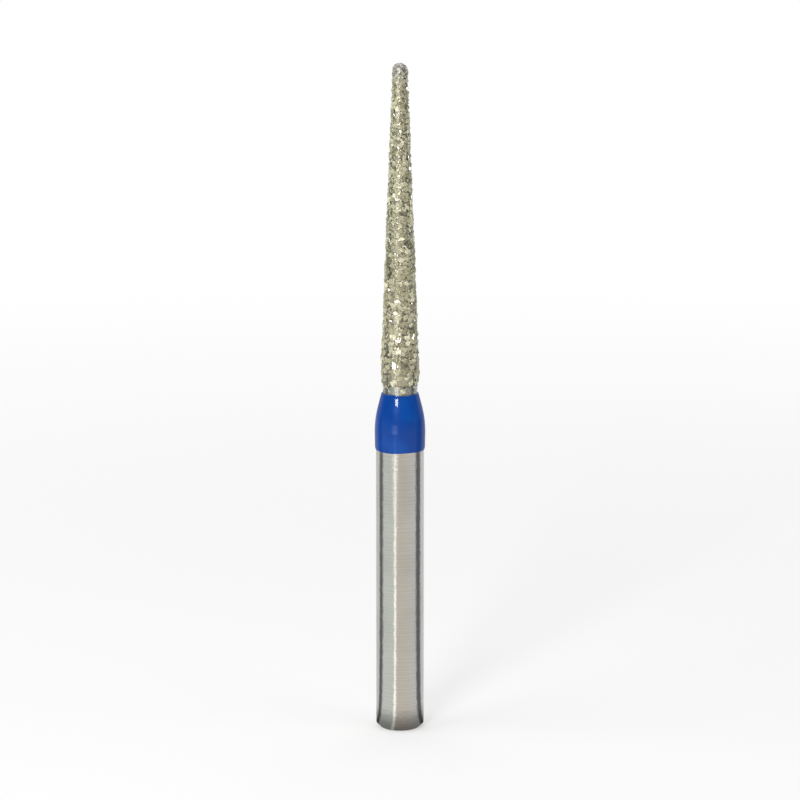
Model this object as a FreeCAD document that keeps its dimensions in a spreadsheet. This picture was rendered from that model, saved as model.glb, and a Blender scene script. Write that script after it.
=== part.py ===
import FreeCAD, Part
import math
import os
import random

import Sketcher

# Taper diamond bur for a friction-grip dental handpiece.
#
# The bur is turned from one steel blank: a ground shank, a short conical shoulder, a bare
# neck and a slender tapered core with a round tip. Diamond grains are plated on to the
# core in a nickel bond, and a band of blue lacquer over the shoulder marks the grit size.
#
# Frame: the origin is the centre of the shank's free end, and +Z runs along the bur's axis
# towards the tip. Lengths are in millimetres.

FOLDER = "parts"

# name, value, what it is
SIZES = [
    ("shank_diameter", 1.6, "ground shank, held by the handpiece's chuck"),
    ("shank_length", 10.6, "free end to the start of the shoulder"),
    ("end_chamfer", 0.15, "chamfer on the shank's free end"),
    ("shoulder_length", 0.9, "cone from the shank down to the neck"),
    ("neck_diameter", 1.13, "bare neck"),
    ("neck_length", 0.4, "shoulder to the start of the plating"),
    ("core_step", 0.015, "step down from the neck to the thick end of the core"),
    ("core_length", 10.475, "plated core, from the neck to its tip"),
    ("core_tip_diameter", 0.28, "round tip of the core"),
    ("band_cover", 1.0, "length of shank under the lacquer"),
    ("band_thickness", 0.045, "lacquer over the shank, at its widest"),
    ("band_draft", 1.0, "degrees that the lacquer's side leans in towards its lower edge"),
    ("band_foot_radius", 0.022, "rounding of the lacquer's lower edge"),
    ("band_swell_radius", 2.0, "bend in the lacquer where it turns to follow the shoulder"),
    ("band_lip", 0.05, "lacquer's thickness at its upper edge"),
    ("bond_thickness", 0.085, "nickel bond over the core"),
    ("bond_lip", 0.025, "nickel's thickness where the plating starts"),
    ("bond_run_in", 0.3, "length over which the bond comes to its full thickness"),
    ("grain_rise", 0.04, "height of the tallest grains above the bond"),
    ("grain_pitch", 0.15, "mean distance from one grain to the next"),
]

# Scatter of the grains, as shares of the grain pitch and the grain rise.
SIDEWAYS_SHARE = 0.17
LOWEST_SHARE = 0.45
PIT_SHARE = 0.2
GRIT_SEED = 11

# The lacquer's side is drawn in this many like lengths, because a mesh rounds off a tall
# thin cone between its ends.
SIDE_LENGTHS = 3


def make_sheet(doc):
    """Return the spreadsheet that holds the driving sizes, one row each."""
    sheet = doc.addObject("Spreadsheet::Sheet", "sizes")
    for row, (alias, value, meaning) in enumerate(SIZES, 1):
        sheet.set(f"A{row}", alias)
        sheet.set(f"B{row}", str(value))
        sheet.set(f"C{row}", meaning)
        sheet.setAlias(f"B{row}", alias)
    doc.recompute()
    return sheet


def new_sketch(body, name):
    """Return an empty sketch on the body's XZ plane: x is the radius and y the height."""
    sketch = body.newObject("Sketcher::SketchObject", name)
    plane = next(f for f in body.Origin.OriginFeatures if f.Role == "XZ_Plane")
    sketch.AttachmentSupport = [(plane, "")]
    sketch.MapMode = "FlatFace"
    return sketch


def point(radius, height):
    """Return a point of a half section."""
    return FreeCAD.Vector(radius, height, 0)


def line(sketch, start, end):
    """Draw a line and return its number in the sketch."""
    return sketch.addGeometry(Part.LineSegment(start, end))


def arc(sketch, centre, start, end):
    """Draw the anticlockwise arc from start to end and return its number in the sketch."""
    first = math.atan2(start.y - centre.y, start.x - centre.x)
    last = math.atan2(end.y - centre.y, end.x - centre.x)
    circle = Part.Circle(centre, FreeCAD.Vector(0, 0, 1), (start - centre).Length)
    return sketch.addGeometry(Part.ArcOfCircle(circle, first, last))


def close_loop(sketch, edges, smooth):
    """Tie each edge's end (2) to the next edge's start (1), all the way round.

    An edge listed in smooth starts at a tangent to the edge before it.
    """
    for here, following in zip(edges, edges[1:] + edges[:1]):
        rule = "Tangent" if following in smooth else "Coincident"
        sketch.addConstraint(Sketcher.Constraint(rule, here, 2, following, 1))


def drive(sketch, name, constraint, expression):
    """Add a named dimension and bind it to the spreadsheet."""
    number = sketch.addConstraint(constraint)
    sketch.renameConstraint(number, name)
    sketch.setExpression(f"Constraints.{name}", expression)


def revolve(body, sketch, merge_faces=True):
    """Turn the closed half section once round its vertical axis.

    Faces that continue each other become one, unless merge_faces is False.
    """
    turned = body.newObject("PartDesign::Revolution", sketch.Name + "_turned")
    turned.Profile = sketch
    turned.ReferenceAxis = (sketch, ["V_Axis"])
    turned.Angle = 360
    turned.Refine = merge_faces
    body.Tip = turned


def core_taper(sheet):
    """Return the core's half angle, in radians, and the height of its tip's centre.

    The side of the core starts at its thick end and runs into the round tip at a tangent.
    """
    tip_radius = sheet.core_tip_diameter / 2
    run = sheet.core_length - tip_radius
    slant = math.hypot(core_radius(sheet), run)
    half_angle = math.acos(tip_radius / slant) - math.atan2(run, core_radius(sheet))
    return half_angle, plating_start(sheet) + run


def core_radius(sheet):
    """Return the radius of the core's thick end, a small step below the neck."""
    return sheet.neck_diameter / 2 - sheet.core_step


def plating_start(sheet):
    """Return the height at which the neck ends and the plated core begins."""
    return sheet.shank_length + sheet.shoulder_length + sheet.neck_length


def make_blank(doc, sheet):
    """Turn the steel blank: shank, shoulder, neck and core in one half section."""
    body = doc.addObject("PartDesign::Body", "steel_blank")
    body.Label = "steel_blank"
    sketch = new_sketch(body, "blank_section")

    shank_radius = sheet.shank_diameter / 2
    neck_radius = sheet.neck_diameter / 2
    tip_radius = sheet.core_tip_diameter / 2
    shoulder_top = sheet.shank_length + sheet.shoulder_length
    neck_top = plating_start(sheet)
    half_angle, tip_centre = core_taper(sheet)

    origin = point(0, 0)
    face_edge = point(shank_radius - sheet.end_chamfer, 0)
    chamfer_top = point(shank_radius, sheet.end_chamfer)
    shank_top = point(shank_radius, sheet.shank_length)
    neck_foot = point(neck_radius, shoulder_top)
    neck_edge = point(neck_radius, neck_top)
    core_foot = point(core_radius(sheet), neck_top)
    tip_side = point(
        tip_radius * math.cos(half_angle),
        tip_centre + tip_radius * math.sin(half_angle),
    )
    apex = point(0, tip_centre + tip_radius)

    end_face = line(sketch, origin, face_edge)
    chamfer = line(sketch, face_edge, chamfer_top)
    shank = line(sketch, chamfer_top, shank_top)
    shoulder = line(sketch, shank_top, neck_foot)
    neck = line(sketch, neck_foot, neck_edge)
    step = line(sketch, neck_edge, core_foot)
    core = line(sketch, core_foot, tip_side)
    tip = arc(sketch, point(0, tip_centre), tip_side, apex)
    axis = line(sketch, apex, origin)

    rule = Sketcher.Constraint
    close_loop(sketch, [end_face, chamfer, shank, shoulder, neck, step, core, tip, axis], [tip])
    sketch.addConstraint(rule("Coincident", end_face, 1, -1, 1))
    sketch.addConstraint(rule("Horizontal", end_face))
    sketch.addConstraint(rule("Vertical", shank))
    sketch.addConstraint(rule("Vertical", neck))
    sketch.addConstraint(rule("Horizontal", step))
    sketch.addConstraint(rule("Vertical", axis))
    sketch.addConstraint(rule("PointOnObject", tip, 3, -2))

    drive(sketch, "shank_radius", rule("DistanceX", -1, 1, shank, 1, shank_radius),
          "sizes.shank_diameter / 2")
    drive(sketch, "chamfer_width", rule("DistanceX", end_face, 2, shank, 1, sheet.end_chamfer),
          "sizes.end_chamfer")
    drive(sketch, "chamfer_height", rule("DistanceY", end_face, 2, shank, 1, sheet.end_chamfer),
          "sizes.end_chamfer")
    drive(sketch, "shank_height", rule("DistanceY", -1, 1, shank, 2, sheet.shank_length),
          "sizes.shank_length")
    drive(sketch, "shoulder_height", rule("DistanceY", shank, 2, neck, 1, sheet.shoulder_length),
          "sizes.shoulder_length")
    drive(sketch, "neck_radius", rule("DistanceX", -1, 1, neck, 1, neck_radius),
          "sizes.neck_diameter / 2")
    drive(sketch, "neck_height", rule("DistanceY", neck, 1, neck, 2, sheet.neck_length),
          "sizes.neck_length")
    drive(sketch, "core_step", rule("DistanceX", step, 2, step, 1, sheet.core_step),
          "sizes.core_step")
    drive(sketch, "core_height", rule("DistanceY", core, 1, axis, 1, sheet.core_length),
          "sizes.core_length")
    drive(sketch, "tip_radius", rule("Radius", tip, tip_radius),
          "sizes.core_tip_diameter / 2")

    revolve(body, sketch)
    return body


def make_band(doc, sheet):
    """Turn the lacquer band, which fits the shank and the shoulder without a gap.

    From a rounded lower edge its side leans out a little up the shank, bends in, and then
    follows the shoulder's cone up to its lip at the neck.
    """
    body = doc.addObject("PartDesign::Body", "lacquer_band")
    body.Label = "lacquer_band"
    sketch = new_sketch(body, "band_section")

    shank_radius = sheet.shank_diameter / 2
    neck_radius = sheet.neck_diameter / 2
    band_radius = shank_radius + sheet.band_thickness
    foot_radius = sheet.band_foot_radius
    swell_radius = sheet.band_swell_radius
    shoulder_top = sheet.shank_length + sheet.shoulder_length
    lower_edge = sheet.shank_length - sheet.band_cover

    # The bend is tangent to the side and to a line that is parallel to the shoulder. Along
    # each one's normal, the bend's centre lies one bend radius below the line.
    slope = math.atan2(shank_radius - neck_radius, sheet.shoulder_length)
    normal = point(math.cos(slope), math.sin(slope))
    lip_edge = point(neck_radius + sheet.band_lip, shoulder_top)
    bend_x = band_radius - swell_radius
    bend_y = (normal.dot(lip_edge) - swell_radius - normal.x * bend_x) / normal.y
    bend_centre = point(bend_x, bend_y)
    draft = math.radians(sheet.band_draft)
    side_normal = point(math.cos(draft), -math.sin(draft))
    foot_y = lower_edge + foot_radius
    foot_reach = (swell_radius - foot_radius + side_normal.y * (bend_y - foot_y)) / side_normal.x
    foot_centre = point(bend_x + foot_reach, foot_y)

    foot_root = point(shank_radius, lower_edge)
    foot_edge = point(foot_centre.x, lower_edge)
    side_foot = foot_centre + side_normal * foot_radius
    side_top = bend_centre + side_normal * swell_radius
    bend_end = bend_centre + normal * swell_radius
    lip_root = point(neck_radius, shoulder_top)
    shank_top = point(shank_radius, sheet.shank_length)

    foot = line(sketch, foot_root, foot_edge)
    rounding = arc(sketch, foot_centre, foot_edge, side_foot)
    marks = [side_foot + (side_top - side_foot) * (n / SIDE_LENGTHS)
             for n in range(SIDE_LENGTHS + 1)]
    side = [line(sketch, start, end) for start, end in zip(marks, marks[1:])]
    bend = arc(sketch, bend_centre, side_top, bend_end)
    slant = line(sketch, bend_end, lip_edge)
    lip = line(sketch, lip_edge, lip_root)
    on_shoulder = line(sketch, lip_root, shank_top)
    on_shank = line(sketch, shank_top, foot_root)

    rule = Sketcher.Constraint
    close_loop(sketch, [foot, rounding, *side, bend, slant, lip, on_shoulder, on_shank],
               [rounding, *side, bend, slant])
    for length in side[1:]:
        sketch.addConstraint(rule("Equal", side[0], length))
    sketch.addConstraint(rule("Horizontal", foot))
    sketch.addConstraint(rule("Horizontal", lip))
    sketch.addConstraint(rule("Vertical", on_shank))
    sketch.addConstraint(rule("Parallel", slant, on_shoulder))

    drive(sketch, "shank_radius", rule("DistanceX", -1, 1, on_shank, 1, shank_radius),
          "sizes.shank_diameter / 2")
    drive(sketch, "shank_height", rule("DistanceY", -1, 1, on_shank, 1, sheet.shank_length),
          "sizes.shank_length")
    drive(sketch, "neck_radius", rule("DistanceX", -1, 1, on_shoulder, 1, neck_radius),
          "sizes.neck_diameter / 2")
    drive(sketch, "shoulder_height",
          rule("DistanceY", on_shoulder, 2, on_shoulder, 1, sheet.shoulder_length),
          "sizes.shoulder_length")
    drive(sketch, "cover", rule("DistanceY", on_shank, 2, on_shank, 1, sheet.band_cover),
          "sizes.band_cover")
    drive(sketch, "bend_depth", rule("DistanceX", bend, 3, -1, 1, swell_radius - band_radius),
          "sizes.band_swell_radius - sizes.shank_diameter / 2 - sizes.band_thickness")
    drive(sketch, "draft", rule("Angle", side[0], math.pi / 2 - draft),
          "90 deg - sizes.band_draft * 1 deg")
    drive(sketch, "foot_radius", rule("Radius", rounding, foot_radius),
          "sizes.band_foot_radius")
    drive(sketch, "swell_radius", rule("Radius", bend, swell_radius),
          "sizes.band_swell_radius")
    drive(sketch, "lip_width", rule("DistanceX", lip, 2, lip, 1, sheet.band_lip),
          "sizes.band_lip")

    revolve(body, sketch, merge_faces=False)
    return body


def bond_outline(sheet):
    """Return the bond's outer line as stations (point, outward normal), base to tip.

    The stations are one grain row apart: up the run-in, along the taper and round the
    tip. The apex itself isn't a station.
    """
    tip_radius = sheet.core_tip_diameter / 2 + sheet.bond_thickness
    half_angle, tip_centre = core_taper(sheet)
    side_normal = point(math.cos(half_angle), math.sin(half_angle))
    along_side = point(-math.sin(half_angle), math.cos(half_angle))
    base = plating_start(sheet)

    base_edge = point(sheet.neck_diameter / 2 + sheet.bond_lip, base)
    side_foot = point(core_radius(sheet), base) + side_normal * sheet.bond_thickness
    full_start = side_foot + along_side * sheet.bond_run_in
    side_end = point(0, tip_centre) + side_normal * tip_radius
    row = row_step(sheet)

    stations = []
    for start, end in ((base_edge, full_start), (full_start, side_end)):
        steps = max(2, round((end - start).Length / row))
        for step in range(steps):
            stations.append((start + (end - start) * (step / steps), side_normal))

    quarter = math.pi / 2 - half_angle
    steps = max(2, round(quarter * tip_radius / row))
    for step in range(steps):
        angle = half_angle + quarter * step / steps
        normal = point(math.cos(angle), math.sin(angle))
        stations.append((point(0, tip_centre) + normal * tip_radius, normal))
    return stations


def row_step(sheet):
    """Return the lattice step: grains sit on every other point of a square lattice."""
    return sheet.grain_pitch / math.sqrt(2)


def grain_rings(sheet):
    """Return rings of (angle, rise, place), with a grain's point on every other place.

    A grain's point stands above the bond by a chance share of the rise, and the places
    between the grains lie in shallow pits.
    """
    chance = random.Random(GRIT_SEED)
    row = row_step(sheet)
    rings = []
    for number, (station, normal) in enumerate(bond_outline(sheet)):
        pairs = max(3, round(math.pi * station.x / row))
        ring = []
        for index in range(2 * pairs):
            sideways = chance.uniform(-SIDEWAYS_SHARE, SIDEWAYS_SHARE)
            upwards = chance.uniform(-SIDEWAYS_SHARE, SIDEWAYS_SHARE)
            if (index + number) % 2:
                rise = sheet.grain_rise * chance.uniform(LOWEST_SHARE, 1)
            else:
                rise = -sheet.grain_rise * chance.uniform(0, PIT_SHARE)
            if number == 0:
                rise, upwards = 0, 0
            angle = (index + sideways) * math.pi / pairs
            radius = station.x + normal.x * rise - normal.y * upwards * row
            height = station.y + normal.y * rise + normal.x * upwards * row
            place = FreeCAD.Vector(radius * math.cos(angle), radius * math.sin(angle), height)
            ring.append((angle, rise, place))
        rings.append(ring)
    return rings


def facet(*corners):
    """Return the flat face with these corners."""
    return Part.Face(Part.makePolygon([*corners, corners[0]]))


def stitch(lower, upper):
    """Return the triangles between two rings, with the edges running from pit to pit.

    The walk goes once round both rings. Each step moves on along the ring whose next point
    makes the shorter new edge, and an edge that would join two grains costs extra, so that
    each grain is left as a four-sided point, like the end of an octahedron.
    """
    def angle_at(ring, index):
        return ring[index % len(ring)][0] + 2 * math.pi * (index // len(ring))

    def cost(lower_index, upper_index):
        gap = abs(angle_at(lower, lower_index) - angle_at(upper, upper_index))
        joined = min(lower[lower_index % len(lower)][1], upper[upper_index % len(upper)][1])
        return gap + (math.pi if joined > 0 else 0)

    faces = []
    low, up = 0, 0
    while low < len(lower) or up < len(upper):
        here = lower[low % len(lower)][2]
        above = upper[up % len(upper)][2]
        lower_moves = up == len(upper) or (
            low < len(lower) and cost(low + 1, up) < cost(low, up + 1)
        )
        if lower_moves:
            low += 1
            faces.append(facet(here, lower[low % len(lower)][2], above))
        else:
            up += 1
            faces.append(facet(here, upper[up % len(upper)][2], above))
    return faces


def make_coating(doc, sheet, blank):
    """Grow the grit: a faceted skin of diamond points in their bond, less the blank."""
    rings = grain_rings(sheet)
    top = plating_start(sheet) + sheet.core_length + sheet.bond_thickness + sheet.grain_rise
    apex = FreeCAD.Vector(0, 0, top)
    crown = [place for _, _, place in rings[-1]]

    faces = [facet(*[place for _, _, place in rings[0]])]
    for lower, upper in zip(rings, rings[1:]):
        faces += stitch(lower, upper)
    faces += [facet(a, b, apex) for a, b in zip(crown, crown[1:] + crown[:1])]
    shell = Part.Shell(faces)
    shell.sewShape()

    skin = doc.addObject("Part::Feature", "grit_skin")
    skin.Shape = Part.Solid(shell)
    coating = doc.addObject("Part::Cut", "diamond_coating")
    coating.Label = "diamond_coating"
    coating.Base = skin
    coating.Tool = blank
    return coating


def check(doc, sub_parts):
    """Stop with a plain message if an object failed or a shape isn't sound."""
    for thing in doc.Objects:
        if "Invalid" in thing.State or "Error" in thing.State:
            raise RuntimeError(f"{thing.Label} failed: {thing.State}")
    for thing in sub_parts:
        shape = thing.Shape
        if shape.isNull() or not shape.isValid() or len(shape.Solids) != 1:
            raise RuntimeError(f"{thing.Label} isn't one sound solid")


def main():
    """Build the document and write one file for each sub-part."""
    doc = FreeCAD.newDocument("diamond_bur")
    sheet = make_sheet(doc)
    blank = make_blank(doc, sheet)
    band = make_band(doc, sheet)
    coating = make_coating(doc, sheet, blank)
    doc.recompute()

    sub_parts = [blank, band, coating]
    check(doc, sub_parts)
    os.makedirs(FOLDER, exist_ok=True)
    for thing in sub_parts:
        thing.Shape.exportStep(os.path.join(FOLDER, thing.Label + ".step"))
        box = thing.Shape.BoundBox
        print(thing.Label, round(thing.Shape.Volume, 4), "mm3,", len(thing.Shape.Faces), "faces,",
              "z", round(box.ZMin, 3), "to", round(box.ZMax, 3))


main()
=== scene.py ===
"""Blender scene for a taper diamond dental bur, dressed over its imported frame.

The bur stands on its shank's end. It is dressed as four pieces: the ground steel blank, the
lacquer band on its shoulder, the nickel bond on its head and the diamond grains in it.
Lengths are in metres, +Z runs up the bur's axis to the tip, and the camera looks along +Y.
"""

from __future__ import annotations

import logging
import math
import random
from bisect import bisect_left
from dataclasses import dataclass, field
from enum import Enum
from itertools import product
from typing import Iterable

import bpy
from mathutils import Euler, Matrix, Vector, kdtree, noise

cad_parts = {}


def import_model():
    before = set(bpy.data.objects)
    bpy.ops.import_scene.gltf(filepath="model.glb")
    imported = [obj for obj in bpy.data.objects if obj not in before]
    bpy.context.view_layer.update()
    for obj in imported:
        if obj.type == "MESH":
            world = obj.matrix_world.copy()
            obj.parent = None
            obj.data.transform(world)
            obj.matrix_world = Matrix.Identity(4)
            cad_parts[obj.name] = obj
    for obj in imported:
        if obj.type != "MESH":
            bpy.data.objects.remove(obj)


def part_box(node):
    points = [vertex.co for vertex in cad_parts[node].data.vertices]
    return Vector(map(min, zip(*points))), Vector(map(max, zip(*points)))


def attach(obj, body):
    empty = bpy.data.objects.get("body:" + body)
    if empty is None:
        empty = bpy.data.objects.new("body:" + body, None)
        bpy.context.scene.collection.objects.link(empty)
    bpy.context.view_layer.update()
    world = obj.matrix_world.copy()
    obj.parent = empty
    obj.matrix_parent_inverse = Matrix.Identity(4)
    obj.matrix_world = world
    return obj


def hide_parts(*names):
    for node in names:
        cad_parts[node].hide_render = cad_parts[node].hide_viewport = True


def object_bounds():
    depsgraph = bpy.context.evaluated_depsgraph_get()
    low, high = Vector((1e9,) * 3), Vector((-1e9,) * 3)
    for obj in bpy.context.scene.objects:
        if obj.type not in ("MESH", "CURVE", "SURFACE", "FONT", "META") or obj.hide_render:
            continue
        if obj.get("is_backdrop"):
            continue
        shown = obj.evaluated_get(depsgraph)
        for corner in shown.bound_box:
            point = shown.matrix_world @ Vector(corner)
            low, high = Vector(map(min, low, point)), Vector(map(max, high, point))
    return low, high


LOG = logging.getLogger("bur")
MM = 0.001
BODY = "root"
TONE = "grain_tone"
CREASE = math.radians(28)

Outline = list[tuple[float, float]]
Colour = tuple[float, float, float, float]
Socket = bpy.types.NodeSocket
Node = bpy.types.Node
Piece = bpy.types.Object
Group = bpy.types.NodeTree


def colour(red: float, green: float, blue: float) -> Colour:
    """Return a linear colour with full alpha."""
    return (red, green, blue, 1.0)


class Shading(Enum):
    """How a finished piece is shaded."""

    FLAT = "flat"
    SMOOTH = "smooth"
    BY_ANGLE = "by_angle"


# Modelling


def deselect_all() -> None:
    """Clear the selection, because an operator acts on all that is selected."""
    bpy.ops.object.select_all(action="DESELECT")


def pick(piece: Piece) -> None:
    """Select one object alone and make it active."""
    deselect_all()
    piece.select_set(True)
    bpy.context.view_layer.objects.active = piece


def shade(piece: Piece, shading: Shading) -> None:
    """Shade a piece.

    Args:
        piece: the mesh object.
        shading: flat, smooth, or smooth up to a crease angle.
    """
    pick(piece)
    if shading is Shading.FLAT:
        bpy.ops.object.shade_flat()
    elif shading is Shading.SMOOTH:
        bpy.ops.object.shade_smooth()
    else:
        bpy.ops.object.shade_smooth_by_angle(angle=CREASE)


def turn(name: str, outline: Outline, segments: int) -> Piece:
    """Turn a closed solid from its half section.

    A disc is drawn out ring by ring along the outline. A last radius of zero closes the end
    in a pole.

    Args:
        name: the new piece's name.
        outline: (radius, height) stations from the lower end to the upper one.
        segments: the number of sides of each ring.

    Returns:
        The new object, with its place in its mesh.
    """
    deselect_all()
    radius, height = outline[0]
    bpy.ops.mesh.primitive_circle_add(
        vertices=segments, radius=radius, fill_type="NGON", location=(0, 0, height)
    )
    piece = bpy.context.object
    piece.name = piece.data.name = name
    bpy.ops.object.transform_apply(location=True, rotation=False, scale=False)
    bpy.ops.object.mode_set(mode="EDIT")
    bpy.ops.mesh.select_all(action="SELECT")
    for next_radius, next_height in outline[1:]:
        rise = (0, 0, next_height - height)
        bpy.ops.mesh.extrude_region_move(TRANSFORM_OT_translate={"value": rise})
        if next_radius == 0:
            bpy.ops.mesh.merge(type="CENTER")
            break
        share = next_radius / radius
        bpy.ops.transform.resize(
            value=(share, share, 1), center_override=(0, 0, next_height)
        )
        radius, height = next_radius, next_height
    bpy.ops.mesh.select_all(action="SELECT")
    bpy.ops.mesh.normals_make_consistent(inside=False)
    bpy.ops.object.mode_set(mode="OBJECT")
    return piece


def between(start: float, end: float, steps: int) -> Iterable[float]:
    """Yield evenly spaced values from start, which is left out, to end."""
    for step in range(1, steps + 1):
        yield start + (end - start) * step / steps


def round_end(radius: float, centre: float, angle: float, steps: int) -> Outline:
    """Return the stations of a round end, up to its pole on the axis.

    Args:
        radius: the end's radius.
        centre: the height of its centre.
        angle: where it starts, as an angle above its centre in radians.
        steps: the number of stations.

    Returns:
        The stations from the first one after the start to the pole.
    """
    stations = []
    for bearing in between(angle, math.pi / 2, steps):
        stations.append((radius * math.cos(bearing), centre + radius * math.sin(bearing)))
    stations[-1] = (0, centre + radius)
    return stations


# Node trees


class Tree:
    """A small hand for wiring a node tree."""

    def __init__(self, tree: Group) -> None:
        """Keep the tree and clear it."""
        self.tree = tree
        self.tree.nodes.clear()

    def node(self, kind: str, **settings: object) -> Node:
        """Add a node.

        Args:
            kind: the node's type without its ShaderNode prefix.
            **settings: node properties to set.

        Returns:
            The new node.
        """
        made = self.tree.nodes.new("ShaderNode" + kind)
        for key, value in settings.items():
            setattr(made, key, value)
        return made

    def wire(self, source: Socket, target: Socket) -> None:
        """Link an output to an input."""
        self.tree.links.new(source, target)

    def feed(self, target: Socket, value: object) -> None:
        """Set an input to a value, or link it if the value is a socket."""
        if isinstance(value, Socket):
            self.wire(value, target)
        else:
            target.default_value = value

    def place(self) -> Socket:
        """Return the Object coordinates."""
        return self.node("TexCoord").outputs["Object"]

    def split(self, vector: Socket) -> bpy.types.NodeOutputs:
        """Return a vector's X, Y and Z."""
        made = self.node("SeparateXYZ")
        self.wire(vector, made.inputs[0])
        return made.outputs

    def math(self, operation: str, *values: object) -> Socket:
        """Return a Math node's result on values or sockets."""
        made = self.node("Math", operation=operation)
        for socket, value in zip(made.inputs, values):
            self.feed(socket, value)
        return made.outputs[0]

    def smooth_step(self, value: object, low: object, high: object) -> Socket:
        """Return 0 below low, 1 above high and a smooth step between them."""
        made = self.node("MapRange", interpolation_type="SMOOTHSTEP")
        for key, number in (("Value", value), ("From Min", low), ("From Max", high)):
            self.feed(made.inputs[key], number)
        return made.outputs[0]

    def blend(self, share: object, one: object, two: object) -> Socket:
        """Return a mix of two colours by a share."""
        made = self.node("Mix", data_type="RGBA")
        self.feed(made.inputs["Factor"], share)
        self.feed(made.inputs[6], one)
        self.feed(made.inputs[7], two)
        return made.outputs[2]

    def layer(self, share: object, under: Socket, over: Socket) -> Socket:
        """Return a mix of two shaders by a share."""
        made = self.node("MixShader")
        for socket, value in zip(made.inputs, (share, under, over)):
            self.feed(socket, value)
        return made.outputs[0]

    def by_ray(self, light: Socket, glossy: Socket, camera: Socket) -> Socket:
        """Return a shader that light, gloss and the camera each see in their own way."""
        path = self.node("LightPath").outputs
        shown = self.layer(path["Is Glossy Ray"], light, glossy)
        return self.layer(path["Is Camera Ray"], shown, camera)

    def noise(self, place: Socket, scale: object, detail: float = 2.0) -> Socket:
        """Return a noise value between 0 and 1, at a scale in cells per metre."""
        made = self.node("TexNoise")
        for key, value in (("Vector", place), ("Scale", scale), ("Detail", detail)):
            self.feed(made.inputs[key], value)
        return made.outputs["Fac"]


def new_group(
    name: str, inputs: dict[str, str], outputs: dict[str, str]
) -> tuple[Tree, Node, Node]:
    """Make a shader node group.

    Args:
        name: the group's name.
        inputs: socket names and their types.
        outputs: socket names and their types.

    Returns:
        The group's tree, its input node and its output node.
    """
    group = bpy.data.node_groups.new(name, "ShaderNodeTree")
    for direction, sockets in (("INPUT", inputs), ("OUTPUT", outputs)):
        for label, kind in sockets.items():
            group.interface.new_socket(
                name=label, in_out=direction, socket_type="NodeSocket" + kind
            )
    tree = Tree(group)
    return tree, group.nodes.new("NodeGroupInput"), group.nodes.new("NodeGroupOutput")


def use_group(tree: Tree, group: Group, **values: object) -> Node:
    """Place a group in a tree and set its inputs.

    Args:
        tree: the tree that gets the group.
        group: the node group.
        **values: values or sockets by input name.

    Returns:
        The group's node.
    """
    made = tree.node("Group", node_tree=group)
    for key, value in values.items():
        tree.feed(made.inputs[key], value)
    return made


class Effects:
    """The shared effects, each built once as a node group."""

    WAVER_SCALE = 900.0
    RING_DETAIL = 3.0
    SMUDGE_DETAIL = 4.0
    SMUDGE_EDGES = (0.4, 0.68)

    def __init__(self) -> None:
        """Build the groups."""
        self.ground_rings = self._ground_rings()
        self.smudges = self._smudges()
        self.worn_tip = self._worn_tip()

    def _ground_rings(self) -> Group:
        """Fine rings round the axis, as grinding and turning leave them."""
        tree, given, result = new_group(
            "ground_rings", {"Pitch": "Float", "Waver": "Float"}, {"Height": "Float"}
        )
        place = tree.place()
        shift = tree.noise(place, self.WAVER_SCALE)
        waver = tree.math("MULTIPLY", shift, given.outputs["Waver"])
        along = tree.math("ADD", tree.split(place)["Z"], waver)
        rings = tree.node("TexNoise", noise_dimensions="1D")
        tree.wire(tree.math("DIVIDE", along, given.outputs["Pitch"]), rings.inputs["W"])
        rings.inputs["Scale"].default_value = 1
        rings.inputs["Detail"].default_value = self.RING_DETAIL
        tree.wire(rings.outputs["Fac"], result.inputs["Height"])
        return tree.tree

    def _smudges(self) -> Group:
        """Soft patches, as handling leaves on a polished surface."""
        tree, given, result = new_group("smudges", {"Scale": "Float"}, {"Mask": "Float"})
        cloud = tree.noise(tree.place(), given.outputs["Scale"], self.SMUDGE_DETAIL)
        tree.wire(tree.smooth_step(cloud, *self.SMUDGE_EDGES), result.inputs["Mask"])
        return tree.tree

    @staticmethod
    def _worn_tip() -> Group:
        """Wear that grows from nothing at one height to full at another, up the axis."""
        tree, given, result = new_group(
            "worn_tip",
            {"From": "Float", "Full": "Float", "Share": "Float"},
            {"Mask": "Float"},
        )
        low, high, share = (given.outputs[key] for key in ("From", "Full", "Share"))
        grown = tree.smooth_step(tree.split(tree.place())["Z"], low, high)
        tree.wire(tree.math("MULTIPLY", grown, share), result.inputs["Mask"])
        return tree.tree


def new_material(name: str) -> tuple[bpy.types.Material, Tree, Node]:
    """Make a material with an empty Principled shader.

    Args:
        name: the material's name.

    Returns:
        The material, its tree and its Principled node.
    """
    material = bpy.data.materials.new(name)
    material.use_nodes = True
    tree = Tree(material.node_tree)
    shader = tree.node("BsdfPrincipled")
    tree.wire(shader.outputs[0], tree.node("OutputMaterial").inputs["Surface"])
    return material, tree, shader


def tune(shader: Node, **values: float) -> None:
    """Set a shader's own inputs, by name with underscores for spaces."""
    for key, value in values.items():
        shader.inputs[key.replace("_", " ")].default_value = value


def bump(tree: Tree, shader: Node, height: Socket, depth: float) -> None:
    """Raise a height on a shader's normal.

    Args:
        tree: the material's tree.
        shader: the Principled node.
        height: the height, from 0 to 1.
        depth: what a height of 1 stands for, in metres.
    """
    made = tree.node("Bump")
    made.inputs["Distance"].default_value = depth
    tree.wire(height, made.inputs["Height"])
    tree.wire(made.outputs[0], shader.inputs["Normal"])


# Finishes


@dataclass(frozen=True)
class TipWear:
    """The wear at the head's tip: how far down it reaches, and how strong it gets."""

    tip: float
    depth: float = 1.0 * MM
    past_tip: float = 0.1 * MM
    share: float = 0.9

    def mask(self, tree: Tree, effects: Effects) -> Socket:
        """Return the wear's mask in a material's tree."""
        low, high = self.tip - self.depth, self.tip + self.past_tip
        worn = use_group(tree, effects.worn_tip, From=low, Full=high, Share=self.share)
        return worn.outputs["Mask"]


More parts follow.
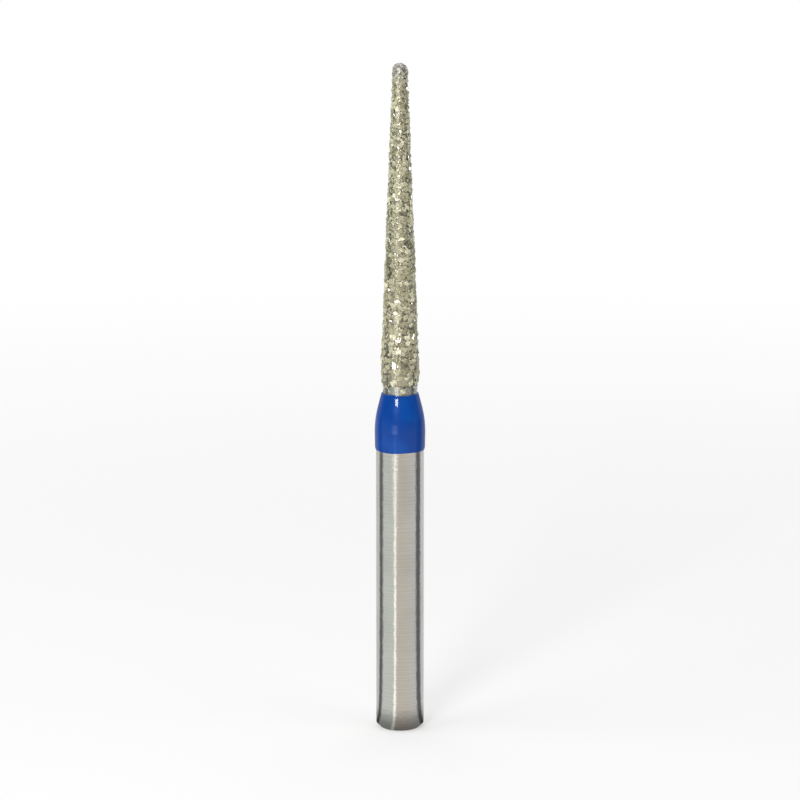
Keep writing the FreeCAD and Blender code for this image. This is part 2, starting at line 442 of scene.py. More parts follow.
@dataclass(frozen=True)
class GroundSteel:
    """Stainless steel: a centreless ground shank, and a neck left as it was turned, darker
    partly by painted shade.
    """

    turned_from: float
    turned_edge: float = 0.02 * MM
    bright: Colour = colour(0.68, 0.665, 0.64)
    dull: Colour = colour(0.58, 0.565, 0.535)
    # Turned: the neck's own turned finish, darkened further as painted shade between band
    # and head.
    turned: Colour = colour(0.43, 0.44, 0.415)
    roughness: float = 0.12
    smudge_roughness: float = 0.07
    turned_roughness: float = 0.16
    smudge_scale: float = 600.0
    smudge_share: float = 0.45
    ground_pitch: float = 0.035 * MM
    ground_waver: float = 0.006 * MM
    turned_pitch: float = 0.07 * MM
    turned_waver: float = 0.01 * MM
    line_edges: tuple[float, float] = (0.35, 0.8)
    line_share: float = 0.75
    ground_share: float = 0.25
    chatter_scale: float = 7000.0
    chatter_share: float = 1.7
    ring_depth: float = 0.003 * MM

    def make(self, effects: Effects) -> bpy.types.Material:
        """Return the material."""
        material, tree, shader = new_material("ground_steel")
        place = tree.place()
        neck = tree.smooth_step(
            tree.split(place)["Z"], self.turned_from, self.turned_from + self.turned_edge
        )
        rings = effects.ground_rings
        ground = use_group(tree, rings, Pitch=self.ground_pitch, Waver=self.ground_waver)
        ground = ground.outputs["Height"]
        turned = use_group(tree, rings, Pitch=self.turned_pitch, Waver=self.turned_waver)
        turned = turned.outputs["Height"]
        smudge = use_group(tree, effects.smudges, Scale=self.smudge_scale).outputs["Mask"]
        lines = tree.smooth_step(ground, *self.line_edges)
        lines = tree.math("MULTIPLY", lines, self.line_share)
        worn = tree.math("MULTIPLY_ADD", smudge, self.smudge_share, lines)
        shank = tree.blend(worn, self.bright, self.dull)
        # The neck takes the turned colour: partly its finish, partly painted shade between
        # band and head.
        tree.wire(tree.blend(neck, shank, self.turned), shader.inputs["Base Color"])
        rough = tree.math("MULTIPLY_ADD", smudge, self.smudge_roughness, self.roughness)
        rough = tree.math("MULTIPLY_ADD", neck, self.turned_roughness, rough)
        tree.wire(rough, shader.inputs["Roughness"])
        tune(shader, Metallic=1)
        chatter = tree.noise(place, self.chatter_scale, 1.0)
        relief = tree.math("MULTIPLY", ground, self.ground_share)
        relief = tree.math("MULTIPLY_ADD", chatter, self.chatter_share, relief)
        relief = tree.math("MULTIPLY_ADD", turned, neck, relief)
        bump(tree, shader, relief, self.ring_depth)
        return material


@dataclass(frozen=True)
class GlossLacquer:
    """Deep blue lacquer under its own gloss, with a faint orange peel."""

    deep: Colour = colour(0.001, 0.043, 0.25)
    thin: Colour = colour(0.0025, 0.061, 0.305)
    roughness: float = 0.35
    specular: float = 0.06
    gloss: float = 0.46
    gloss_roughness: float = 0.035
    cloud_scale: float = 1100.0
    peel_scale: float = 2200.0
    peel_depth: float = 0.0014 * MM

    def make(self, effects: Effects) -> bpy.types.Material:
        """Return the material."""
        material, tree, shader = new_material("gloss_lacquer")
        cloud = use_group(tree, effects.smudges, Scale=self.cloud_scale).outputs["Mask"]
        tree.wire(tree.blend(cloud, self.deep, self.thin), shader.inputs["Base Color"])
        tune(shader, Roughness=self.roughness, Specular_IOR_Level=self.specular)
        tune(shader, Coat_Weight=self.gloss, Coat_Roughness=self.gloss_roughness)
        peel = tree.noise(tree.place(), self.peel_scale)
        bump(tree, shader, peel, self.peel_depth)
        return material


@dataclass(frozen=True)
class SatinNickel:
    """Plated nickel, warm grey and finely nodular, worn greyer at the tip."""

    wear: TipWear
    bright: Colour = colour(0.54, 0.515, 0.4)
    dull: Colour = colour(0.27, 0.255, 0.185)
    worn: Colour = colour(0.33, 0.325, 0.31)
    roughness: float = 0.31
    cloud_scale: float = 4000.0
    nodule_scale: float = 13000.0
    nodule_depth: float = 0.01 * MM

    def make(self, effects: Effects) -> bpy.types.Material:
        """Return the material."""
        material, tree, shader = new_material("satin_nickel")
        cloud = use_group(tree, effects.smudges, Scale=self.cloud_scale).outputs["Mask"]
        plated = tree.blend(cloud, self.bright, self.dull)
        shown = tree.blend(self.wear.mask(tree, effects), plated, self.worn)
        tree.wire(shown, shader.inputs["Base Color"])
        tune(shader, Metallic=1, Roughness=self.roughness)
        nodules = tree.noise(tree.place(), self.nodule_scale)
        bump(tree, shader, nodules, self.nodule_depth)
        return material


@dataclass(frozen=True)
class DiamondGrain:
    """Straw-grey diamond, each grain with a tone of its own, the palest partly painted
    glints, dulled grey at the tip.
    """

    wear: TipWear
    dark: Colour = colour(0.1, 0.094, 0.048)
    middle: Colour = colour(0.36, 0.339, 0.203)
    # Pale is partly the diamond's own light tone and partly painted glints, raised near
    # white.
    pale: Colour = colour(0.95, 0.92, 0.67)
    worn: Colour = colour(0.27, 0.265, 0.25)
    roughness: float = 0.2
    ior: float = 2.42
    cloud_scale: float = 9000.0

    def make(self, effects: Effects) -> bpy.types.Material:
        """Return the material."""
        material, tree, shader = new_material("diamond_grain")
        tone = tree.node("Attribute", attribute_name=TONE)
        ramp = tree.node("ValToRGB")
        stops = ramp.color_ramp.elements
        stops[0].position, stops[0].color = 0.0, self.dark
        # The ramp's pale end carries painted glints as well as the grains' own tone.
        stops[1].position, stops[1].color = 1.0, self.pale
        stops.new(0.5).color = self.middle
        tree.wire(tone.outputs["Fac"], ramp.inputs["Fac"])
        cloud = use_group(tree, effects.smudges, Scale=self.cloud_scale).outputs["Mask"]
        shaded = tree.blend(cloud, ramp.outputs["Color"], self.middle)
        shown = tree.blend(self.wear.mask(tree, effects), shaded, self.worn)
        tree.wire(shown, shader.inputs["Base Color"])
        tune(shader, Roughness=self.roughness, IOR=self.ior)
        return material


# The bur


@dataclass
class Frame:
    """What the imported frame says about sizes, read once from its boxes."""

    shank_radius: float = 0.0
    band_radius: float = 0.0
    band_low: float = 0.0
    band_high: float = 0.0
    plating_low: float = 0.0
    tip: float = 0.0

    def read(self) -> None:
        """Read the boxes of the three nodes."""
        self.shank_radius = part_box("steel_blank")[1].x
        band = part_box("lacquer_band")
        self.band_radius = band[1].x
        self.band_low, self.band_high = band[0].z, band[1].z
        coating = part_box("diamond_coating")
        self.plating_low, self.tip = coating[0].z, coating[1].z


@dataclass
class SteelBlank:
    """The turned and ground blank: shank, shoulder, neck and the core under the plating."""

    frame: Frame
    end_chamfer: float = 0.15 * MM
    shoulder_length: float = 0.9 * MM
    neck_radius: float = 0.565 * MM
    core_radius: float = 0.55 * MM
    core_tip_radius: float = 0.14 * MM
    core_short_of_tip: float = 0.125 * MM
    edge_break: float = 0.012 * MM
    end_rings: tuple[float, ...] = (0.25, 0.6)
    shank_rows: int = 12
    shoulder_rows: int = 6
    neck_rows: int = 4
    core_rows: int = 6
    tip_rows: int = 5
    segments: int = 192

    @property
    def shoulder_low(self) -> float:
        """Height at which the shank turns into the shoulder."""
        return self.frame.band_high - self.shoulder_length

    @property
    def core_half_angle(self) -> float:
        """Half angle of the core's taper, in radians."""
        run = self.core_tip_centre - self.frame.plating_low
        slant = math.hypot(self.core_radius, run)
        lean = math.acos(self.core_tip_radius / slant)
        return lean - math.atan2(run, self.core_radius)

    @property
    def core_tip_centre(self) -> float:
        """Height of the centre of the core's round tip."""
        return self.frame.tip - self.core_short_of_tip - self.core_tip_radius

    def surface_radius(self, height: float) -> float:
        """Return the blank's radius at a height on the shank, the shoulder or the neck."""
        shank = self.frame.shank_radius
        share = min(1.0, max(0.0, (height - self.shoulder_low) / self.shoulder_length))
        return shank + share * (self.neck_radius - shank)

    def outline(self) -> Outline:
        """Return the half section, from the centre of the end face to the core's tip."""
        shank, chamfer, soft = self.frame.shank_radius, self.end_chamfer, self.edge_break
        stations = [(share * shank, 0.0) for share in self.end_rings]
        # The chamfer, with both of its edges broken.
        nose = shank - chamfer
        stations += [(nose - soft, 0.0), (nose, 0.3 * soft), (nose + soft, 1.1 * soft)]
        stations += [(shank - soft, chamfer - 1.1 * soft), (shank - 0.2 * soft, chamfer)]
        start, shoulder, low = chamfer + soft, self.shoulder_low, self.frame.plating_low
        stations.append((shank, start))
        stations += [(shank, z) for z in between(start, shoulder, self.shank_rows)]
        for z in between(shoulder, self.frame.band_high, self.shoulder_rows):
            stations.append((self.surface_radius(z), z))
        for z in between(self.frame.band_high, low, self.neck_rows):
            stations.append((self.neck_radius, z))
        core, angle = self.core_radius, self.core_half_angle
        tip, centre = self.core_tip_radius, self.core_tip_centre
        side_radius, side_high = tip * math.cos(angle), centre + tip * math.sin(angle)
        stations.append((core, low))
        for z in between(low, side_high, self.core_rows):
            share = (z - low) / (side_high - low)
            stations.append((core + share * (side_radius - core), z))
        return stations + round_end(tip, centre, angle, self.tip_rows)

    def build(self, effects: Effects) -> Piece:
        """Return the finished blank."""
        piece = turn("ground_blank", self.outline(), self.segments)
        shade(piece, Shading.BY_ANGLE)
        piece.data.materials.append(GroundSteel(self.shoulder_low).make(effects))
        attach(piece, BODY)
        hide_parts("steel_blank")
        return piece


@dataclass
class LacquerBand:
    """The ring of lacquer, brushed on over the shoulder and drawn up at its edges."""

    frame: Frame
    blank: SteelBlank
    foot_depth: float = 0.024 * MM
    foot_height: float = 0.13 * MM
    foot_angles: tuple[int, ...] = (-82, -65, -48, -32, -16, 0)
    draft: float = math.radians(1)
    swell_radius: float = 3.4 * MM
    lip: float = 0.05 * MM
    lip_radius: float = 0.024 * MM
    lip_share: float = 0.98
    crown: float = 0.002 * MM
    wave_scale: float = 1.1
    upper_wave: float = 0.05 * MM
    upper_phase: tuple[float, float, float] = (3, 1, 7)
    lower_wave: float = 0.02 * MM
    lower_phase: tuple[float, float, float] = (9, 4, 2)
    seat: float = 0.004 * MM
    side_rows: int = 34
    lip_rows: int = 5
    segments: int = 192

    def outer_radius(self, height: float) -> float:
        """Return the lacquer's radius at a height, edges apart."""
        slope = math.atan2(
            self.frame.shank_radius - self.blank.neck_radius, self.blank.shoulder_length
        )
        lip = self.blank.neck_radius + self.lip
        high = self.frame.band_high
        cone = lip + (high - height) * math.tan(slope)
        corner = high - (self.frame.band_radius - lip) / math.tan(slope)
        reach = self.swell_radius * math.tan(slope / 2)
        if height <= corner - reach:
            return self.frame.band_radius - (corner - reach - height) * math.tan(self.draft)
        bend_end = corner + reach * math.cos(slope)
        if height >= bend_end:
            share = (height - bend_end) / (high - bend_end)
            return cone + 4 * self.crown * share * (1 - share)
        along = height - (corner - reach)
        drop = self.swell_radius - math.sqrt(self.swell_radius**2 - along**2)
        return self.frame.band_radius - drop

    def outline(self) -> Outline:
        """Return the section's outer side, from its root on the shank up to the neck."""
        low, high = self.frame.band_low, self.frame.band_high
        lip, foot = self.lip_radius, low + self.foot_height
        root = self.blank.surface_radius(low) - self.seat
        stations = [(root, low)]
        for bearing in map(math.radians, self.foot_angles):
            inwards = self.foot_depth * (1 - math.cos(bearing))
            height = foot + self.foot_height * math.sin(bearing)
            stations.append((self.outer_radius(height) - inwards, height))
        top = high - lip
        stations += [(self.outer_radius(z), z) for z in between(foot, top, self.side_rows)]
        edge = self.outer_radius(top)
        for bearing in between(0, math.pi / 2, self.lip_rows):
            radius = edge - lip + lip * math.cos(bearing)
            stations.append((radius, top + lip * math.sin(bearing)))
        stations.append((self.blank.neck_radius - self.seat, high))
        return stations

    def waver(self, piece: Piece) -> None:
        """Move the edges up and down a little, as a brushed ring's edges run."""
        low, high = self.frame.band_low, self.frame.band_high
        for vertex in piece.data.vertices:
            bearing = math.atan2(vertex.co.y, vertex.co.x)
            share = (vertex.co.z - low) / (high - low)
            run = Vector((math.cos(bearing), math.sin(bearing), 0)) * self.wave_scale
            up = noise.noise(run + Vector(self.upper_phase)) * self.upper_wave * share**3
            down = noise.noise(run + Vector(self.lower_phase)) * self.lower_wave
            before = self.outer_radius(vertex.co.z)
            height = vertex.co.z + up + down * (1 - share) ** 3
            radius = math.hypot(vertex.co.x, vertex.co.y)
            if share < self.lip_share:
                radius += self.outer_radius(height) - before
            radius = max(radius, self.blank.surface_radius(height) - self.seat)
            vertex.co = (radius * math.cos(bearing), radius * math.sin(bearing), height)

    def build(self, effects: Effects) -> Piece:
        """Return the finished band."""
        piece = turn("blue_band", self.outline(), self.segments)
        self.waver(piece)
        shade(piece, Shading.SMOOTH)
        piece.data.materials.append(GlossLacquer().make(effects))
        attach(piece, BODY)
        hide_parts("lacquer_band")
        return piece


@dataclass(frozen=True)
class Grade:
    """One grade of grit.

    Its grains are smallest to largest in size and stand lowest to highest out of the bond.
    Each keeps its room free of others, and tries says how many are thrown.
    """

    smallest: float
    largest: float
    room: float
    tries: int
    lowest: float
    highest: float


@dataclass
class Grain:
    """One diamond in its place."""

    foot: Vector
    normal: Vector
    size: float
    room: float
    proud: float
    tone: float


@dataclass
class DiamondHead:
    """The working head: a nickel bond over the core, and the diamond grains in it."""

    frame: Frame
    blank: SteelBlank
    bond_thickness: float = 0.085 * MM
    bond_lip: float = 0.02 * MM
    run_in: float = 0.3 * MM
    coarse: Grade = Grade(0.18 * MM, 0.24 * MM, 0.158 * MM, 15000, 0.008 * MM, 0.05 * MM)
    fine: Grade = Grade(0.085 * MM, 0.125 * MM, 0.095 * MM, 15000, 0.002 * MM, 0.026 * MM)
    settled_tilt: float = math.radians(12)
    tip_grade: float = 0.66
    tip_stand: float = 0.03 * MM
    tone_spread: float = 0.2
    tip_tone_spread: float = 0.16
    skirt: float = 0.19 * MM
    skirt_waves: tuple[float, float] = (3.2, 3.1)
    skirt_ripple: float = 0.35
    bare_edge: float = 0.05
    strays: int = 150
    coarse_strays: float = 0.3
    stray_reach: float = 0.36 * MM
    stray_bias: float = 1.5
    crystals: int = 14
    cuts: int = 7
    cut_range: tuple[float, float] = (0.42, 0.54)
    slimmest: float = 0.8
    weld: float = 0.04
    wetting: float = 0.42
    bond_rise: float = 0.02 * MM
    bond_sink: float = 0.014 * MM
    bond_grain: float = 0.003 * MM
    bond_grain_size: float = 0.03 * MM
    dome_height: float = 0.2 * MM
    segments: int = 160
    row: float = 0.036 * MM
    seed: int = 7
    grains: list[Grain] = field(default_factory=list)

    def bond_outline(self) -> Outline:
        """Return the bond's outer line, from its lower edge on the neck to the apex."""
        angle, low = self.blank.core_half_angle, self.frame.plating_low
        normal = Vector((math.cos(angle), math.sin(angle)))
        along = Vector((-math.sin(angle), math.cos(angle)))
        edge = Vector((self.blank.neck_radius + self.bond_lip, low))
        side = Vector((self.blank.core_radius, low)) + normal * self.bond_thickness
        full = side + along * self.run_in
        tip_radius = self.blank.core_tip_radius + self.bond_thickness
        centre = Vector((0, self.blank.core_tip_centre))
        side_end = centre + normal * tip_radius
        stations = [tuple(edge)]
        for start, end in ((edge, full), (full, side_end)):
            steps = round((end - start).length / self.row)
            stations += [tuple(start.lerp(end, share)) for share in between(0, 1, steps)]
        steps = round((math.pi / 2 - angle) * tip_radius / self.row)
        return stations + round_end(tip_radius, centre.y, angle, steps)

    def scatter(self) -> None:
        """Throw grains at the bond, by area, and keep those that find room."""
        chance = random.Random(self.seed)
        outline = [Vector(station) for station in self.bond_outline()]
        spans, area = [], 0.0
        for start, end in zip(outline, outline[1:]):
            area += (end - start).length * (start.x + end.x) / 2
            spans.append((area, start, end))
        marks = [span[0] for span in spans]
        cells: dict[tuple[int, int, int], list[Grain]] = {}
        for grade in (self.coarse, self.fine):
            for _ in range(grade.tries):
                _, start, end = spans[bisect_left(marks, chance.uniform(0, area))]
                section = start.lerp(end, chance.random())
                slant = (end - start).normalized()
                self.throw(section, Vector((slant.y, -slant.x)), grade, cells, chance)
        low = self.frame.plating_low
        for _ in range(self.strays):
            drop = self.stray_reach * chance.random() ** self.stray_bias
            section = Vector((self.blank.neck_radius, low - drop))
            grade = self.coarse if chance.random() < self.coarse_strays else self.fine
            self.throw(section, Vector((1, 0)), grade, cells, chance)

    def throw(
        self,
        section: Vector,
        outward: Vector,
        grade: Grade,
        cells: dict[tuple[int, int, int], list[Grain]],
        chance: random.Random,
    ) -> None:
        """Throw one grain at a chance bearing, and keep it if it finds room.

        Args:
            section: its radius and height.
            outward: the surface's normal there, as radius and height.
            grade: its grade.
            cells: the grains kept so far, by cell.
            chance: the random source.
        """
        bearing = chance.uniform(0, 2 * math.pi)
        around = Vector((math.cos(bearing), math.sin(bearing), 0))
        up = Vector((0, 0, 1))
        low = self.frame.plating_low
        share = min(1.0, max(0.0, (section.y - low) / (self.frame.tip - low)))
        finer = 1 + share * (self.tip_grade - 1)
        spread = self.tone_spread + share * (self.tip_tone_spread - self.tone_spread)
        proud = chance.uniform(grade.lowest, grade.highest)
        if section.y > self.blank.core_tip_centre:
            proud = min(self.tip_stand, max(proud, 0.5 * self.tip_stand))
        grain = Grain(
            foot=around * section.x + up * section.y,
            normal=around * outward.x + up * outward.y,
            size=chance.uniform(grade.smallest, grade.largest) * finer,
            room=grade.room * finer,
            proud=proud,
            tone=min(1.0, max(0.0, chance.gauss(0.5, spread))),
        )
        cell = tuple(math.floor(value / self.coarse.room) for value in grain.foot)
        for step in product((-1, 0, 1), repeat=3):
            for other in cells.get(tuple(map(sum, zip(cell, step))), ()):
                if (grain.foot - other.foot).length < (grain.room + other.room) / 2:
                    return
        cells.setdefault(cell, []).append(grain)
        self.grains.append(grain)

    def cut_crystals(self) -> list[Piece]:
        """Return the master crystals: cubes of unit size, cut down by chance planes."""
        chance = random.Random(self.seed + 1)
        masters = []
        for number in range(self.crystals):
            deselect_all()
            bpy.ops.mesh.primitive_cube_add(size=1)
            master = bpy.context.object
            master.name = f"crystal_{number}"
            master.scale = [chance.uniform(self.slimmest, 1.0) for _ in range(3)]
            bpy.ops.object.transform_apply(location=False, rotation=False, scale=True)
            bpy.ops.object.mode_set(mode="EDIT")
            for _ in range(self.cuts):
                way = Vector([chance.gauss(0, 1) for _ in range(3)]).normalized()
                bpy.ops.mesh.select_all(action="SELECT")
                bpy.ops.mesh.bisect(
                    plane_co=way * chance.uniform(*self.cut_range),
                    plane_no=way,
                    use_fill=True,
                    clear_outer=True,
                )
            bpy.ops.mesh.select_all(action="SELECT")
            bpy.ops.mesh.remove_doubles(threshold=self.weld)
            bpy.ops.mesh.normals_make_consistent(inside=False)
            bpy.ops.object.mode_set(mode="OBJECT")
            masters.append(master)
        return masters

    def set_grains(self) -> Piece:
        """Return one piece with a crystal at every grain's place."""
        chance = random.Random(self.seed + 2)
        masters = self.cut_crystals()
        placed = []
        for grain in self.grains:
            master = chance.choice(masters)
            mesh = master.data.copy()
            spin = Euler((0, 0, chance.uniform(0, 2 * math.pi))).to_matrix()
            tilt = Euler([chance.gauss(0, self.settled_tilt) for _ in range(3)]).to_matrix()
            turned = grain.normal.to_track_quat("Z", "Y").to_matrix() @ tilt @ spin
            mesh.transform((turned * grain.size).to_4x4())
            top = max(vertex.co.dot(grain.normal) for vertex in mesh.vertices)
            centre = grain.foot + grain.normal * (grain.proud - top)
            mesh.transform(Matrix.Translation(centre))
            tones = mesh.attributes.new(TONE, "FLOAT", "POINT")
            tones.data.foreach_set("value", [grain.tone] * len(mesh.vertices))
            crystal = bpy.data.objects.new("diamond", mesh)
            bpy.context.scene.collection.objects.link(crystal)
            placed.append(crystal)
        for master in masters:
            bpy.data.objects.remove(master)
        deselect_all()
        for crystal in placed:
            crystal.select_set(True)
        bpy.context.view_layer.objects.active = placed[0]
        bpy.ops.object.join()
        piece = bpy.context.object
        piece.name = piece.data.name = "diamond_grains"
        return piece

    def plate(self) -> Piece:
        """Return the bond, drawn up round each grain and sunk between them."""
        piece = turn("nickel_bond", self.bond_outline(), self.segments)
        nearest = kdtree.KDTree(len(self.grains))
        for number, grain in enumerate(self.grains):
            nearest.insert(grain.foot, number)
        nearest.balance()
        lean = math.cos(self.blank.core_half_angle)
        low, up = self.frame.plating_low, Vector((0, 0, 1))
        long_wave, short_wave = self.skirt_waves
        for vertex in piece.data.vertices:
            above = (vertex.co.z - low) / (2 * self.skirt)
            if above < 1:
                around = Vector((vertex.co.x, vertex.co.y, 0)).normalized() * long_wave
                ragged = 0.5 + 0.5 * noise.noise(around)
                ragged += self.skirt_ripple * noise.noise(around * short_wave)
                vertex.co.z -= self.skirt * ragged * (1 - above)
            if above < self.bare_edge:
                continue
            _, number, gap = nearest.find(vertex.co)
            climb = math.exp(-((gap / (self.wetting * self.grains[number].size)) ** 2))
            lift = self.bond_rise * climb - self.bond_sink
            lift += self.bond_grain * noise.noise(vertex.co / self.bond_grain_size)
            flat = Vector((vertex.co.x, vertex.co.y, 0))
            out = flat.normalized() if flat.length > 0 else up
            dome = (vertex.co.z - self.blank.core_tip_centre) / self.dome_height
            normal = (out * lean).lerp(up, min(1.0, max(0.0, dome))).normalized()
            vertex.co += normal * lift
        return piece

    def build(self, effects: Effects) -> list[Piece]:
        """Return the finished bond and grains."""
        self.scatter()
        bond = self.plate()
        shade(bond, Shading.SMOOTH)
        wear = TipWear(self.frame.tip)
        bond.data.materials.append(SatinNickel(wear).make(effects))
        grains = self.set_grains()
        shade(grains, Shading.FLAT)
        grains.data.materials.append(DiamondGrain(wear).make(effects))
        for piece in (bond, grains):
            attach(piece, BODY)
            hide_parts("diamond_coating")
        return [bond, grains]


# The studio


@dataclass(frozen=True)
class Lamp:
    """A soft panel, aimed at the bur."""

    name: str
    bearing: float
    elevation: float
    distance: float
    width: float
    height: float
    radiance: float

    def hang(self, target: Vector) -> None:
        """Make the lamp.

        Args:
            target: the point that the lamp faces.
        """
        data = bpy.data.lights.new(self.name, "AREA")
        data.shape = "RECTANGLE"
        data.size, data.size_y = self.width, self.height
        data.energy = self.radiance * math.pi * self.width * self.height
        lamp = bpy.data.objects.new(self.name, data)
        bpy.context.scene.collection.objects.link(lamp)
        back = away(self.bearing, self.elevation)
        lamp.location = target + back * self.distance
        lamp.rotation_mode = "QUATERNION"
        lamp.rotation_quaternion = (-back).to_track_quat("-Z", "Y")
        lamp.visible_camera = False


def away(bearing: float, elevation: float) -> Vector:
    """Return the direction from the bur to a bearing, 0 towards the camera, in degrees."""
    swing, lift = math.radians(bearing), math.radians(elevation)
    run = math.cos(lift)
    return Vector((math.sin(swing) * run, -math.cos(swing) * run, math.sin(lift)))


@dataclass
class Studio:
    """A pale floor, soft lamps, what the gloss mirrors, and the camera.

    Bearings are in degrees, 0 towards the camera and growing to its right. The two flags
    have four each: the dark grows between the first two and fades between the last two.
    """

    target: Vector
    floor_reach: float = 3.0
    floor_colour: Colour = colour(0.86, 0.86, 0.85)
    near_glow: float = 0.42
    glow_from: float = 0.015
    glow_full: float = 0.09
    ambient: Colour = colour(0.52, 0.525, 0.53)
    back: Colour = colour(0.74, 0.74, 0.735)
    low_front: Colour = colour(0.76, 0.76, 0.76)
    horizon_front: Colour = colour(0.3, 0.3, 0.3)
    high_front: Colour = colour(0.05, 0.05, 0.05)
    high_from: float = 0.14
    left_tint: Colour = colour(0.99, 1.05, 1.0)
    near_tint: Colour = colour(0.95, 0.895, 0.805)
    right_tint: Colour = colour(0.94, 0.93, 0.92)
    left_to_near: tuple[float, float] = (-26, -8)
    near_to_right: tuple[float, float] = (10, 70)
    front_to_back: tuple[float, float] = (98, 108)
    flag: Colour = colour(0.16, 0.165, 0.18)
    left_flag: tuple[float, ...] = (82, 97, 108, 120)
    right_flag: tuple[float, ...] = (75, 88, 106, 119)
    strip: Colour = colour(1.65, 1.63, 1.54)
    strip_bearing: float = -23.0
    strip_core: float = 0.5
    strip_end: float = 42 * MM
    far_strip: float = 56 * MM
    far_glare: float = 2.4
    strip_edge: float = 7.5
    far_strip_edge: float = 20.0
    strip_fade: float = 0.07
    dim_from: float = 50 * MM
    dim_full: float = 140 * MM
    dim_share: float = 0.35
    shade_level: float = 0.28
    shade_radius: float = 0.75 * MM
    shade_reach: float = 3.2 * MM
    camera_elevation: float = 12.0
    camera_distance: float = 118 * MM
    lens: float = 160.0
    nearest_seen: float = 1 * MM
    farthest_seen: float = 20.0
    # Each lamp's name, bearing, elevation, distance, width, height and radiance.
    lamps: tuple[Lamp, ...] = (
        Lamp("key", -20, 20.5, 0.12, 0.032, 0.019, 38),
        Lamp("left_panel", -75, 40, 0.16, 0.11, 0.11, 1.7),
        Lamp("right_panel", 62, 42, 0.16, 0.09, 0.09, 1.2),
        Lamp("top_panel", 180, 60, 0.18, 0.16, 0.12, 1.3),
    )

    def mirrored(self) -> Group:
        """Return the ring that gloss and metal mirror, as a colour by bearing.

        The ground behind the bur is white, the front has a colour of its own, a dark flag
        stands on each side between them, and a narrow strip lamp stands left of the camera.
        """
        tree, given, result = new_group(
            "mirrored_ring",
            {
                "Direction": "Vector",
                "Front": "Color",
                "Strip": "Float",
                "Glare": "Float",
                "Spread": "Float",
            },
            {"Color": "Color"},
        )
        way = tree.split(given.outputs["Direction"])
        facing = tree.math("MULTIPLY", way["Y"], -1.0)
        bearing = tree.math("DEGREES", tree.math("ARCTAN2", way["X"], facing))
        near = tree.smooth_step(bearing, *self.left_to_near)
        right = tree.smooth_step(bearing, *self.near_to_right)
        tint = tree.blend(near, self.left_tint, self.near_tint)
        tint = tree.blend(right, tint, self.right_tint)
        front = tree.node("Mix", data_type="RGBA", blend_type="MULTIPLY")
        front.inputs["Factor"].default_value = 1
        tree.wire(given.outputs["Front"], front.inputs[6])
        tree.wire(tint, front.inputs[7])
        behind = tree.smooth_step(tree.math("ABSOLUTE", bearing), *self.front_to_back)
        shown = tree.blend(behind, front.outputs[2], self.back)
        left = tree.math("MULTIPLY", bearing, -1.0)
        for side, edges in ((left, self.left_flag), (bearing, self.right_flag)):
            rise = tree.smooth_step(side, *edges[:2])
            fall = tree.smooth_step(side, *edges[2:])
            shown = tree.blend(tree.math("SUBTRACT", rise, fall), shown, self.flag)
        aside = tree.math("SUBTRACT", bearing, self.strip_bearing)
        off_strip = tree.math("ABSOLUTE", aside)
        lit = tree.smooth_step(off_strip, self.strip_core, given.outputs["Spread"])
        lit = tree.math("SUBTRACT", 1.0, lit)
        lit = tree.math("MULTIPLY", lit, given.outputs["Strip"])
        glare = tree.node("VectorMath", operation="SCALE")
        glare.inputs[0].default_value = self.strip[:3]
        tree.wire(given.outputs["Glare"], glare.inputs["Scale"])
        shown = tree.blend(lit, shown, glare.outputs[0])
        tree.wire(shown, result.inputs["Color"])
        return tree.tree

    def lay_floor(self, ring: Group) -> None:
        """Make the floor, white to the camera under the bur's shadow."""
        deselect_all()
        bpy.ops.mesh.primitive_plane_add(size=2 * self.floor_reach)
        floor = bpy.context.object
        floor.name = "floor"
        material = bpy.data.materials.new("pale_floor")
        material.use_nodes = True
        tree = Tree(material.node_tree)
        plain = tree.node("BsdfDiffuse")
        plain.inputs["Color"].default_value = self.floor_colour
        place = tree.place()
        length = tree.node("VectorMath", operation="LENGTH")
        tree.wire(place, length.inputs[0])
        reach = length.outputs["Value"]
        glow = tree.smooth_step(reach, self.glow_from, self.glow_full)
        glow = tree.math("MULTIPLY_ADD", glow, 1 - self.near_glow, self.near_glow)
        seen = tree.layer(glow, plain.outputs[0], tree.node("Emission").outputs[0])
        faded = 1 + self.strip_fade
        near = tree.smooth_step(reach, self.strip_end, self.strip_end * faded)
        far = tree.smooth_step(reach, self.far_strip, self.far_strip * faded)
        wider = self.far_strip_edge - self.strip_edge
        ringed = use_group(
            tree,
            ring,
            Direction=place,
            Front=self.low_front,
            Strip=tree.math("ADD", tree.math("SUBTRACT", 1.0, near), far),
            Glare=tree.math("MULTIPLY_ADD", far, self.far_glare - 1, 1.0),
            Spread=tree.math("MULTIPLY_ADD", far, wider, self.strip_edge),
        )
        shaded = tree.smooth_step(reach, self.shade_radius, self.shade_reach)
        dim = tree.smooth_step(reach, self.dim_from, self.dim_full)
        level = tree.math("MULTIPLY_ADD", shaded, 1 - self.shade_level, self.shade_level)
        level = tree.math("MULTIPLY_ADD", dim, -self.dim_share, level)
        mirrored = tree.node("Emission")
        tree.wire(ringed.outputs["Color"], mirrored.inputs["Color"])
        tree.wire(level, mirrored.inputs["Strength"])
        shown = tree.by_ray(plain.outputs[0], mirrored.outputs[0], seen)
        under = tree.node("NewGeometry").outputs["Backfacing"]
        shown = tree.layer(under, shown, tree.node("BsdfTransparent").outputs[0])
        tree.wire(shown, tree.node("OutputMaterial").inputs["Surface"])
        floor.data.materials.append(material)
        floor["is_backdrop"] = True

    def fill_world(self, ring: Group) -> None:
        """Light the bur from all round, white to the camera and the ring to the gloss."""
        world = bpy.data.worlds.new("studio")
        bpy.context.scene.world = world
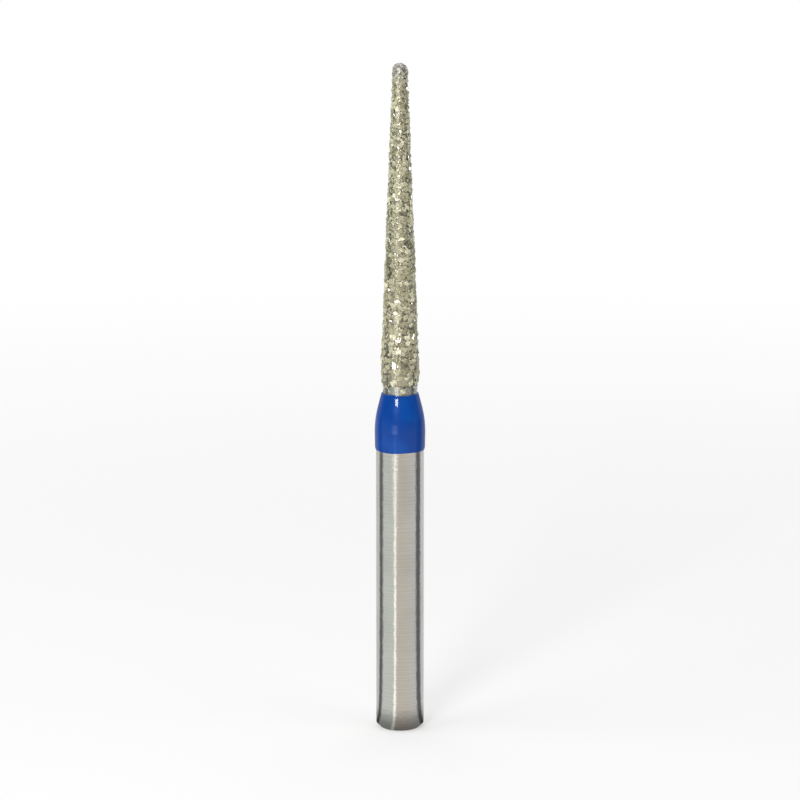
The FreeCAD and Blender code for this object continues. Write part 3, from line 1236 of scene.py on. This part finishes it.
        world.use_nodes = True
        tree = Tree(world.node_tree)
        ambient = tree.node("Background")
        ambient.inputs["Color"].default_value = self.ambient
        white = tree.node("Background")
        white.inputs["Color"].default_value = colour(1, 1, 1)
        mirrored = tree.node("Background")
        way = tree.node("TexCoord").outputs["Generated"]
        high = tree.smooth_step(tree.split(way)["Z"], 0, self.high_from)
        front = tree.blend(high, self.horizon_front, self.high_front)
        ringed = use_group(tree, ring, Direction=way, Front=front, Strip=0.0)
        tree.wire(ringed.outputs["Color"], mirrored.inputs["Color"])
        shown = tree.by_ray(ambient.outputs[0], mirrored.outputs[0], white.outputs[0])
        tree.wire(shown, tree.node("OutputWorld").inputs["Surface"])

    def place_camera(self) -> None:
        """Make the camera at the photograph's viewing angle."""
        data = bpy.data.cameras.new("camera")
        data.lens = self.lens
        data.clip_start, data.clip_end = self.nearest_seen, self.farthest_seen
        camera = bpy.data.objects.new("camera", data)
        bpy.context.scene.collection.objects.link(camera)
        back = away(0, self.camera_elevation)
        camera.location = self.target + back * self.camera_distance
        camera.rotation_mode = "QUATERNION"
        camera.rotation_quaternion = (-back).to_track_quat("-Z", "Y")
        bpy.context.scene.camera = camera

    def build(self) -> None:
        """Set up the whole studio."""
        ring = self.mirrored()
        self.lay_floor(ring)
        self.fill_world(ring)
        for lamp in self.lamps:
            lamp.hang(self.target)
        self.place_camera()
        bpy.context.scene.view_settings.view_transform = "Standard"


def main() -> None:
    """Load the frame, build the bur and the studio, and log the face and grain counts."""
    logging.basicConfig(level=logging.INFO, format="%(name)s: %(message)s")
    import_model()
    cad_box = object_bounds()
    frame = Frame()
    frame.read()
    effects = Effects()
    blank = SteelBlank(frame)
    head = DiamondHead(frame, blank)
    pieces = [blank.build(effects), LacquerBand(frame, blank).build(effects)]
    pieces += head.build(effects)
    for piece in pieces:
        LOG.info("%s: %d faces", piece.name, len(piece.data.polygons))
    LOG.info("%d grains", len(head.grains))
    Studio((cad_box[0] + cad_box[1]) / 2).build()


if __name__ == "__main__":
    main()
